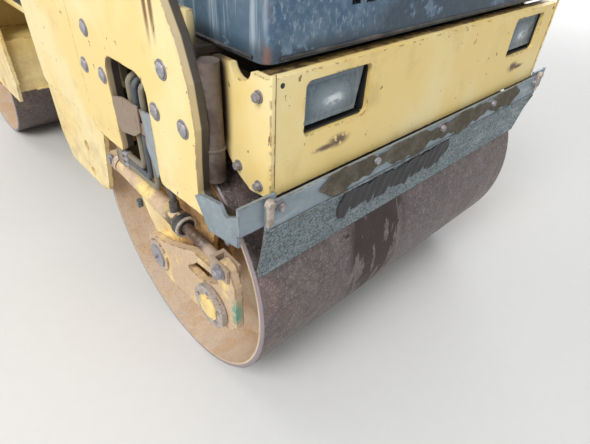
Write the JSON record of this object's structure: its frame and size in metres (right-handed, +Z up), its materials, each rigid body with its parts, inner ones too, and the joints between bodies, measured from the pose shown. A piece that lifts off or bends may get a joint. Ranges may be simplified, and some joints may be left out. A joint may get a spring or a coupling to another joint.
{
  "type": "tandem road roller",
  "caption": "Articulated ride-on road roller with two smooth steel drums, hinged engine hood, folding roll bar and an edge cutter arm beside the front drum.",
  "frame": {"origin": "on the ground, midway between the drum axles below the steering joint", "axes": "+Z up, -Y towards the engine end, +X towards the machine's left side"},
  "size_m": [1.092, 2.406, 2.25],
  "materials": {
    "yellow_paint": "faded warm yellow paint, chipped to rust on the edges",
    "grey_paint": "weathered grey-blue paint",
    "dark_paint": "dark grey paint",
    "drum_steel": "rolled steel with a brown film of rust and dried dust",
    "primer": "orange-tan paint, dusty",
    "galvanised": "galvanised steel",
    "bare_steel": "machined steel, lightly rusted",
    "engine_iron": "dark cast iron",
    "rod_chrome": "hard chromed rod",
    "rubber": "matt black rubber",
    "hose_rubber": "dusty black rubber",
    "black_plastic": "matt black",
    "tank_plastic": "grey-blue moulded plastic",
    "seat_vinyl": "black vinyl",
    "lamp_glass": "fluted clear glass",
    "red_lens": "red lens"
  },
  "bodies": {
    "rear_module": {"rear_frame": "yellow_paint", "rear_side_plates": "yellow_paint", "rear_drum_carriers": "primer", "rear_drum_buffers": "rubber", "rear_bumper": "yellow_paint", "rear_lamp_housings": "black_plastic", "rear_lamp_lenses": "red_lens", "rear_scraper": "galvanised", "rear_scraper_brackets": "galvanised", "rear_spray_pipe": "black_plastic", "platform": "dark_paint", "console": "grey_paint", "travel_lever": "black_plastic", "grab_rails": "yellow_paint", "water_tank": "tank_plastic", "tank_cap": "black_plastic", "seat_base": "dark_paint", "seat": "seat_vinyl", "roll_bar_posts": "yellow_paint"},
    "rear_roller": {"rear_drum": "drum_steel"},
    "roll_bar": {"roll_bar_bow": "yellow_paint"},
    "hand_wheel": {"steering_wheel": "black_plastic"},
    "steering_barrel": {"steering_cylinder": "dark_paint"},
    "steering_piston": {"steering_rod": "rod_chrome"},
    "joint_block": {"pivot_block": "dark_paint"},
    "front_module": {"front_frame": "yellow_paint", "front_side_plates": "yellow_paint", "front_drum_carriers": "primer", "front_drum_buffers": "rubber", "front_bumper": "yellow_paint", "headlight_housings": "black_plastic", "headlight_lenses": "lamp_glass", "front_scraper": "galvanised", "front_scraper_brackets": "galvanised", "front_spray_pipe": "black_plastic", "engine": "engine_iron", "edge_cutter_bracket": "yellow_paint", "cutter_hoses": "hose_rubber", "hose_clamps": "galvanised"},
    "front_roller": {"front_drum": "drum_steel"},
    "engine_hood": {"hood": "grey_paint"},
    "cutter_arm": {"edge_cutter_arm": "yellow_paint"},
    "cutter_hub": {"edge_cutter_hub": "bare_steel"},
    "cutter_barrel": {"edge_cutter_cylinder": "dark_paint"},
    "cutter_piston": {"edge_cutter_rod": "rod_chrome"}
  },
  "joints": [
    {"name": "articulation", "type": "hinge", "parent": "rear_module", "child": "joint_block", "pos_m": [0, 0, 0.4], "axis": [0, 0, 1], "range_deg": [-30, 30]},
    {"name": "oscillation", "type": "hinge", "parent": "joint_block", "child": "front_module", "pos_m": [0, 0, 0.4], "axis": [0, 1, 0], "range_deg": [-8, 8]},
    {"name": "front_drum_spin", "type": "hinge", "parent": "front_module", "child": "front_roller", "pos_m": [0, -0.85, 0.35], "axis": [1, 0, 0], "continuous": true},
    {"name": "rear_drum_spin", "type": "hinge", "parent": "rear_module", "child": "rear_roller", "pos_m": [0, 0.85, 0.35], "axis": [1, 0, 0], "continuous": true},
    {"name": "hood_hinge", "type": "hinge", "parent": "front_module", "child": "engine_hood", "pos_m": [0, -0.46, 1.208], "axis": [-1, 0, 0], "range_deg": [0, 50]},
    {"name": "roll_bar_fold", "type": "hinge", "parent": "rear_module", "child": "roll_bar", "pos_m": [0, 0.74, 1.262], "axis": [-1, 0, 0], "range_deg": [0, 90]},
    {"name": "steering_wheel_turn", "type": "hinge", "parent": "rear_module", "child": "hand_wheel", "pos_m": [0, -0.01929, 1.25876], "axis": [0, 0.4226, 0.9063], "continuous": true},
    {"name": "steering_cylinder_swing", "type": "hinge", "parent": "rear_module", "child": "steering_barrel", "pos_m": [-0.25, 0.4, 0.298], "axis": [0, 0, 1], "range_deg": [-3, 3]},
    {"name": "steering_rod_slide", "type": "slide", "parent": "steering_barrel", "child": "steering_piston", "axis": [0.1887, -0.982, 0], "range_m": [-0.09, 0.09]},
    {"name": "cutter_arm_lower", "type": "hinge", "parent": "front_module", "child": "cutter_arm", "pos_m": [-0.517, -0.825, 0.305], "axis": [1, 0, 0], "range_deg": [0, 20]},
    {"name": "cutter_hub_spin", "type": "hinge", "parent": "cutter_arm", "child": "cutter_hub", "pos_m": [-0.534, -1.064, 0.33], "axis": [1, 0, 0], "continuous": true},
    {"name": "cutter_cylinder_swing", "type": "hinge", "parent": "front_module", "child": "cutter_barrel", "pos_m": [-0.517, -0.66, 0.5], "axis": [1, 0, 0], "range_deg": [-1, 15]},
    {"name": "cutter_rod_slide", "type": "slide", "parent": "cutter_barrel", "child": "cutter_piston", "axis": [0, -0.997, -0.0775], "range_m": [-0.002, 0.062]}
  ],
  "couplings": [
    {"joint": "steering_cylinder_swing", "follows": "articulation", "ratio": -0.02},
    {"joint": "steering_rod_slide", "follows": "articulation", "m_per_rad": 0.165},
    {"joint": "cutter_cylinder_swing", "follows": "cutter_arm_lower", "ratio": 0.592},
    {"joint": "cutter_rod_slide", "follows": "cutter_arm_lower", "m_per_rad": 0.165}
  ]
}
